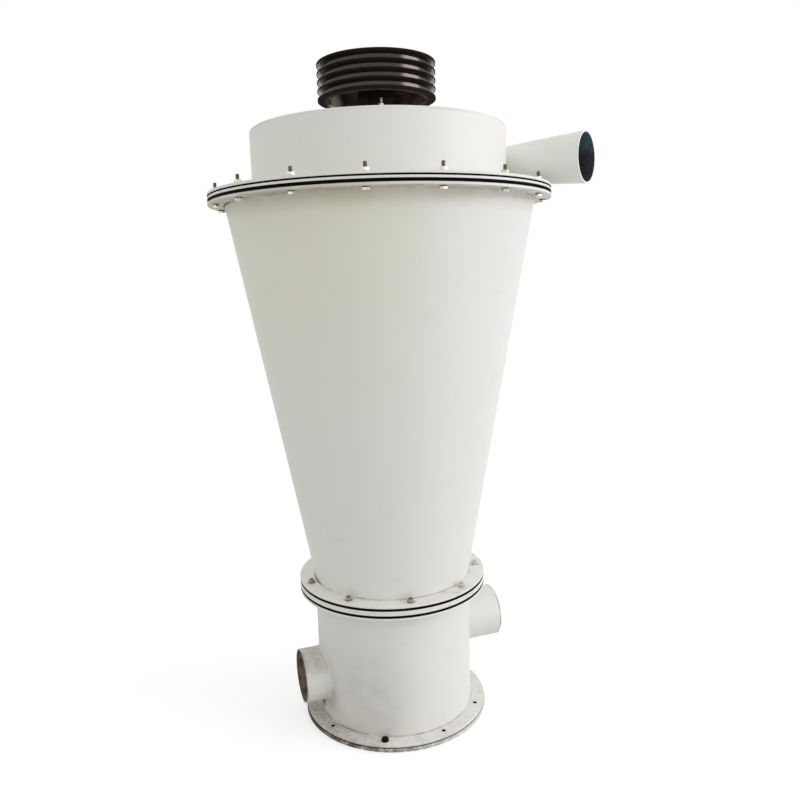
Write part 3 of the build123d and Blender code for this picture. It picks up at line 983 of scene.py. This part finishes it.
def grow(label, mesh, tree_name, values, body):
    """Makes a piece by a geometry node tree, turns it into a plain mesh and lets it ride on its body."""
    tree = bpy.data.node_groups.get(tree_name) or TREES[tree_name]()
    piece = bpy.data.objects.new(label, mesh)
    bpy.context.scene.collection.objects.link(piece)
    modifier = piece.modifiers.new(tree_name, "NODES")
    modifier.node_group = tree
    sockets = {
        item.name: item.identifier
        for item in tree.interface.items_tree
        if item.item_type == "SOCKET" and item.in_out == "INPUT"
    }
    for name, value in values.items():
        modifier[sockets[name]] = value
    depsgraph = bpy.context.evaluated_depsgraph_get()
    made = bpy.data.meshes.new_from_object(piece.evaluated_get(depsgraph))
    if not made.polygons:
        raise RuntimeError(f"the tree {tree_name} made nothing for {label}")
    piece.modifiers.clear()
    piece.data = made
    made.name = label
    bpy.data.meshes.remove(mesh)
    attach(piece, body)


# Operators


def settings(context):
    """The four groups of settings."""
    scene = context.scene
    return scene.cyclone_colours, scene.cyclone_fasteners, scene.cyclone_welds, scene.cyclone_stage


class CYCLONE_OT_paint_walls(bpy.types.Operator):
    """Paint the chamber, the cone, the drum, its roof and the bearing housing"""

    bl_idname = "cyclone.paint_walls"
    bl_label = "Paint Walls"

    def execute(self, context):
        colours = settings(context)[0]
        drum = wall_paint("drum paint", colours, DRUM_R, foot("drum_plain_half"))
        wear(chamber_paint("chamber paint", colours), "chamber_low_half", "chamber_high_half")
        wear(cone_paint("cone paint", colours), "cone_half_a", "cone_half_b")
        wear(drum, "drum_inlet_half", "drum_plain_half")
        wear(roof_paint("roof paint", colours), "drum_roof")
        wear(paint("housing paint", colours), "bearing_housing", "bearing_cover")
        return {"FINISHED"}


class CYCLONE_OT_paint_pipes(bpy.types.Operator):
    """Paint the inlet pipe and the two stub pipes, rusty or dark inside"""

    bl_idname = "cyclone.paint_pipes"
    bl_label = "Paint Pipes"

    def execute(self, context):
        colours, _, welds, _ = settings(context)
        for node, mount in STUBS.items():
            outwards = Vector(mount["axis"])
            end = max(vertex.co.dot(outwards) for vertex in frame["nodes"][node].data.vertices)
            label, dirt = node.replace("_", " ") + " paint", getattr(colours, f"{node}_dirt")
            wear(stub_paint(label, colours, mount, end, dirt), node)
        wear(inlet_paint("inlet paint", colours, welds.inlet_slope), "inlet_pipe")
        return {"FINISHED"}


def bolt_circle(bolts, place, node):
    """Radius of the bolt circle in a round node, number of bolts and angle of the first."""
    inset, number_of, first = (getattr(bolts, f"{place}_{name}") for name in ("in", "count", "first"))
    return round_size(node) - inset, number_of, first


class CYCLONE_OT_paint_flanges(bpy.types.Operator):
    """Paint the flanges and joint rings, and rust the bottom plate"""

    bl_idname = "cyclone.paint_flanges"
    bl_label = "Paint Flanges"

    def execute(self, context):
        colours, bolts, _, _ = settings(context)
        rim, circle = round_size("drum_flange"), bolt_circle(bolts, "head_joint", "drum_flange")
        under = foot("cone_head_flange")
        upper = flange_paint("head joint paint", colours, rim, circle, dirt=0.12, under=under)
        wear(upper, "cone_head_flange", "head_ring", "drum_flange")
        rim, circle = round_size("cone_foot_flange"), bolt_circle(bolts, "low_joint", "cone_foot_flange")
        lower = flange_paint("low joint paint", colours, rim, circle, dirt=0.2)
        wear(lower, "chamber_flange", "low_joint_ring", "cone_foot_flange")
        circle = BASE_CIRCLE_R, BASE_PATTERN["count"], bolts.base_first
        wear(base_flange_paint("base flange paint", colours, circle), "base_flange")
        wear(plate_steel("worn plate", colours), "base_plate")
        return {"FINISHED"}


class CYCLONE_OT_fit_gaskets(bpy.types.Operator):
    """Give the gaskets their black rubber"""

    bl_idname = "cyclone.fit_gaskets"
    bl_label = "Fit Gaskets"

    def execute(self, context):
        gaskets = [node for node in frame["nodes"] if "gasket" in node]
        wear(gasket_rubber("gasket rubber", settings(context)[0]), *gaskets)
        return {"FINISHED"}


class CYCLONE_OT_finish_rotor(bpy.types.Operator):
    """Finish the pulley in dark iron and the shaft and key in oiled steel"""

    bl_idname = "cyclone.finish_rotor"
    bl_label = "Finish Rotor"

    def execute(self, context):
        colours = settings(context)[0]
        wear(pulley_iron("pulley iron", colours), "drive_pulley")
        wear(oiled_steel("oiled steel", colours), "shaft", "pulley_key")
        return {"FINISHED"}


def set_bolts(label, bolts, circle, seat, far_seat, nut, thread=None, scale=1.0, **changes):
    """A circle of bolts: through bolts if thread gives the length and finish of their ends, or cap bolts.

    Scale makes smaller bolts of the same kind. Changes are inputs that differ, such as nut_width.
    """
    radius, number_of, first = circle
    values = {
        "Circle radius": radius,
        "Count": number_of,
        "First angle": first,
        "Seed": bolts.seed,
        "Bolt diameter": bolts.bolt_d * scale,
        "Nut width": bolts.nut_w * scale,
        "Nut height": bolts.nut_t * scale,
        "Washer radius": bolts.washer_r * scale,
        "Washer thickness": bolts.washer_t * scale,
        "Seat": seat,
        "Far seat": far_seat,
        "Nut finish": nut,
    }
    if thread:
        out, finish = thread
        values.update({
            "Head height": bolts.head_t * scale,
            "Thread out": out,
            "Thread pitch": bolts.pitch * scale,
            "Thread finish": finish,
        })
    for name, value in changes.items():
        values[name.replace("_", " ").capitalize()] = value
    tree_name = "Through bolts" if thread else "Cap bolts"
    grow(label, bpy.data.meshes.new(label), tree_name, values, "vessel")


class CYCLONE_OT_bolt_joints(bpy.types.Operator):
    """Bolt the upper and the lower joint"""

    bl_idname = "cyclone.bolt_joints"
    bl_label = "Bolt Joints"

    joints = (
        ("head_joint", "drum_flange", "cone_head_flange", "bright zinc", "dark thread"),
        ("low_joint", "cone_foot_flange", "chamber_flange", "dull zinc", "painted thread"),
    )

    def execute(self, context):
        colours, bolts, _, _ = settings(context)
        for joint, upper, lower, nut, thread in self.joints:
            ends = getattr(bolts, f"{joint}_out"), fastener_metal(thread, colours)
            set_bolts(
                f"{joint}_bolts", bolts, bolt_circle(bolts, joint, upper), head(upper), foot(lower),
                fastener_metal(nut, colours), ends,
            )
        return {"FINISHED"}


class CYCLONE_OT_bolt_base(bpy.types.Operator):
    """Put the one bolt that is left into the base flange"""

    bl_idname = "cyclone.bolt_base"
    bl_label = "Bolt Base"

    def execute(self, context):
        colours, bolts, _, _ = settings(context)
        set_bolts(
            "base_bolt", bolts, (BASE_CIRCLE_R, 1, bolts.base_first), head("base_flange"),
            foot("base_plate") + bolts.base_tip_up, fastener_metal("black bolt", colours),
            nut_width=bolts.base_head_w, nut_height=bolts.base_head_t,
        )
        return {"FINISHED"}


class CYCLONE_OT_bolt_housing(bpy.types.Operator):
    """Bolt the bearing housing's foot and its cover"""

    bl_idname = "cyclone.bolt_housing"
    bl_label = "Bolt Housing"

    def execute(self, context):
        colours, bolts, _, _ = settings(context)
        zinc = fastener_metal("bright zinc", colours)
        set_bolts(
            "cover_studs", bolts, bolt_circle(bolts, "cover", "bearing_cover"), head("bearing_cover"),
            head("bearing_housing") - bolts.cover_depth, zinc, (bolts.cover_out, zinc), bolts.cover_scale,
        )
        low = foot("bearing_housing")
        circle = bolt_circle(bolts, "housing", "bearing_housing")
        set_bolts("housing_bolts", bolts, circle, low + bolts.housing_foot, low, zinc)
        return {"FINISHED"}


def round_path(place, points):
    """The places at even turns round a circle."""
    return [place(math.tau * n / points) for n in range(points)]


def ring_path(radius, height, points=180):
    """A level circle on the axis."""
    return round_path(lambda turn: Vector((radius * math.cos(turn), radius * math.sin(turn), height)), points)


def stub_path(mount, points=90):
    """Where a stub pipe meets the outside of the chamber."""
    return round_path(lambda turn: stub_rim(mount, turn), points)


def inlet_path(slope, points=90, rounds=12):
    """Where the inlet pipe meets the outside of the drum, found in a few rounds."""

    def place(turn):
        x = DRUM_R / 2
        for _ in range(rounds):
            radius = INLET_MOUTH_R - slope * (INLET_HIGH.x - x)
            y = INLET_CENTRE.y + radius * math.cos(turn)
            x = math.sqrt(DRUM_R**2 - y**2)
        return Vector((x, y, INLET_CENTRE.z + radius * math.sin(turn)))

    return round_path(place, points)


def path_mesh(label, points):
    """A closed path as a mesh of edges."""
    mesh = bpy.data.meshes.new(label)
    mesh.from_pydata(points, [(n, (n + 1) % len(points)) for n in range(len(points))], [])
    return mesh


class CYCLONE_OT_weld_seams(bpy.types.Operator):
    """Weld the flanges to the walls and the pipes into them"""

    bl_idname = "cyclone.weld_seams"
    bl_label = "Weld Seams"

    def execute(self, context):
        colours, _, welds, _ = settings(context)
        clean = weld_paint("weld paint", colours).done()
        # Welds nearly black on one side: dark joints and rust, and painted shade under the head flange and
        # under the low stub
        opened_and_shaded = dirty_shaded_weld_paint("open weld paint", colours, colours.dark_seam_turn, 0.12, 0.3, 0.95).done()
        rusty = dirty_shaded_weld_paint("rusty weld paint", colours, LOW_SIDE, 0.4, 1.0, 0.42).done()
        seams = {
            "base_weld": (ring_path(CHAMBER_R, head("base_flange")), rusty),
            "chamber_head_weld": (ring_path(CHAMBER_R, foot("chamber_flange")), clean),
            "cone_foot_weld": (ring_path(CHAMBER_R, head("cone_foot_flange")), opened_and_shaded),
            "cone_head_weld": (ring_path(CONE_HEAD_R, foot("cone_head_flange")), opened_and_shaded),
            "drum_weld": (ring_path(DRUM_R, head("drum_flange")), clean),
            "low_stub_weld": (stub_path(MOUNTS["low_outlet"]), clean),
            "high_stub_weld": (stub_path(MOUNTS["high_outlet"]), clean),
            "inlet_weld": (inlet_path(welds.inlet_slope), clean),
        }
        values = {
            "Bead radius": welds.bead_r,
            "Step": welds.step,
            "Ripple": welds.ripple,
            "Ripple height": welds.ripple_h,
            "Wander": welds.wander,
        }
        for label, (points, finish) in seams.items():
            values["Finish"] = finish
            grow(label, path_mesh(label, points), "Weld bead", values, "vessel")
        return {"FINISHED"}


def seen_by_eye(net):
    """1 for what the eye sees, straight, mirrored or through glass."""
    path = net.add("ShaderNodeLightPath").outputs
    mirrored = net.maths("MAXIMUM", path["Is Glossy Ray"], path["Is Transmission Ray"])
    return net.maths("MAXIMUM", path["Is Camera Ray"], mirrored)


class CYCLONE_OT_set_stage(bpy.types.Operator):
    """Set the floor, the light and the camera"""

    bl_idname = "cyclone.set_stage"
    bl_label = "Set Stage"

    floor_half = 30.0
    light_away = 6.0
    light_target = Vector((0.0, 0.0, 1.1))
    key_up, key_size = 3.1, (4.8, 1.0)
    fill_up, fill_size = 0.7, (2.0, 1.2)
    sensor_width = 36.0

    def execute(self, context):
        stage = settings(context)[3]
        self.lay_floor(context, stage)
        self.light_world(context, stage)
        self.hang_light(context, "key_light", stage.key, stage.key_turn, self.key_up, self.key_size)
        self.hang_light(context, "fill_light", stage.fill, stage.fill_turn, self.fill_up, self.fill_size)
        self.set_camera(context, stage)
        context.scene.view_settings.view_transform = "Standard"
        return {"FINISHED"}

    def lay_floor(self, context, stage):
        """A wide pale floor that looks white to the eye and keeps its shadows."""
        half = self.floor_half
        mesh = bpy.data.meshes.new("floor")
        corners = [(-half, -half, 0), (half, -half, 0), (half, half, 0), (-half, half, 0)]
        mesh.from_pydata(corners, [], [(0, 1, 2, 3)])
        floor = bpy.data.objects.new("floor", mesh)
        context.scene.collection.objects.link(floor)
        material = bpy.data.materials.new("pale floor")
        material.use_nodes = True
        net = Net(material.node_tree)
        net.tree.nodes.clear()
        matt = net.make("ShaderNodeBsdfDiffuse", {"Color": rgba(stage.floor)})
        glow = net.make("ShaderNodeEmission", {"Strength": net.times(seen_by_eye(net), stage.floor_lift)})
        both = net.make("ShaderNodeAddShader", {0: matt, 1: glow})
        net.add("ShaderNodeOutputMaterial", {"Surface": both})
        mesh.materials.append(material)

    def light_world(self, context, stage):
        """Even light from all round, white to the eye."""
        world = bpy.data.worlds.new("studio")
        world.use_nodes = True
        net = Net(world.node_tree)
        net.tree.nodes.clear()
        strength = net.between(seen_by_eye(net), stage.sky, 1.0)
        white = net.make("ShaderNodeBackground", {"Color": rgba((1, 1, 1)), "Strength": strength})
        net.add("ShaderNodeOutputWorld", {"Surface": white})
        context.scene.world = world

    def hang_light(self, context, label, power, turn, up, size):
        """A softbox that looks at the vessel, turned from the camera."""
        stage = settings(context)[3]
        lamp = bpy.data.lights.new(label, "AREA")
        lamp.shape = "RECTANGLE"
        lamp.size, lamp.size_y = size
        lamp.energy = power
        lamp.color = stage.tint
        light = bpy.data.objects.new(label, lamp)
        context.scene.collection.objects.link(light)
        turn += stage.camera_turn - math.pi / 2
        light.location = (self.light_away * math.cos(turn), self.light_away * math.sin(turn), up)
        light.rotation_euler = (self.light_target - light.location).to_track_quat("-Z", "Y").to_euler()

    def set_camera(self, context, stage):
        """The camera, where the photograph was taken."""
        lens = bpy.data.cameras.new("camera")
        lens.lens = stage.lens
        lens.sensor_width = self.sensor_width
        camera = bpy.data.objects.new("camera", lens)
        context.scene.collection.objects.link(camera)
        turn = stage.camera_turn - math.pi / 2
        place = (stage.camera_away * math.cos(turn), stage.camera_away * math.sin(turn), stage.camera_up)
        camera.matrix_world = (
            Matrix.Translation(place)
            @ Matrix.Rotation(stage.camera_turn - stage.camera_yaw, 4, "Z")
            @ Matrix.Rotation(math.pi / 2 - stage.camera_pitch, 4, "X")
            @ Matrix.Rotation(stage.camera_roll, 4, "Z")
        )
        context.scene.camera = camera


PROPERTY_GROUPS = {
    "cyclone_colours": CycloneColours,
    "cyclone_fasteners": CycloneFasteners,
    "cyclone_welds": CycloneWelds,
    "cyclone_stage": CycloneStage,
}
OPERATORS = (
    CYCLONE_OT_paint_walls,
    CYCLONE_OT_paint_pipes,
    CYCLONE_OT_paint_flanges,
    CYCLONE_OT_fit_gaskets,
    CYCLONE_OT_finish_rotor,
    CYCLONE_OT_bolt_joints,
    CYCLONE_OT_bolt_base,
    CYCLONE_OT_bolt_housing,
    CYCLONE_OT_weld_seams,
    CYCLONE_OT_set_stage,
)


class CYCLONE_PT_finish(bpy.types.Panel):
    """Steps and settings of the finish"""

    bl_label = "Cyclone Separator"
    bl_idname = "CYCLONE_PT_finish"
    bl_space_type = "VIEW_3D"
    bl_region_type = "UI"
    bl_category = "Cyclone"

    def draw(self, context):
        for operator in OPERATORS:
            self.layout.operator(operator.bl_idname)
        for name, group in PROPERTY_GROUPS.items():
            box = self.layout.box()
            for key in group.__annotations__:
                box.prop(getattr(context.scene, name), key)


def register():
    """Registers the classes and hangs the settings on the scene."""
    for name, group in PROPERTY_GROUPS.items():
        bpy.utils.register_class(group)
        setattr(bpy.types.Scene, name, bpy.props.PointerProperty(type=group))
    for cls in (*OPERATORS, CYCLONE_PT_finish):
        bpy.utils.register_class(cls)


def unregister():
    """Takes the classes and settings away again."""
    for cls in (CYCLONE_PT_finish, *reversed(OPERATORS)):
        bpy.utils.unregister_class(cls)
    for name, group in PROPERTY_GROUPS.items():
        delattr(bpy.types.Scene, name)
        bpy.utils.unregister_class(group)


def main():
    """Runs every step in order."""
    register()
    bpy.ops.cyclone.paint_walls()
    bpy.ops.cyclone.paint_pipes()
    bpy.ops.cyclone.paint_flanges()
    bpy.ops.cyclone.fit_gaskets()
    bpy.ops.cyclone.finish_rotor()
    bpy.ops.cyclone.bolt_joints()
    bpy.ops.cyclone.bolt_base()
    bpy.ops.cyclone.bolt_housing()
    bpy.ops.cyclone.weld_seams()
    bpy.ops.cyclone.set_stage()


if __name__ == "__main__":
    main()
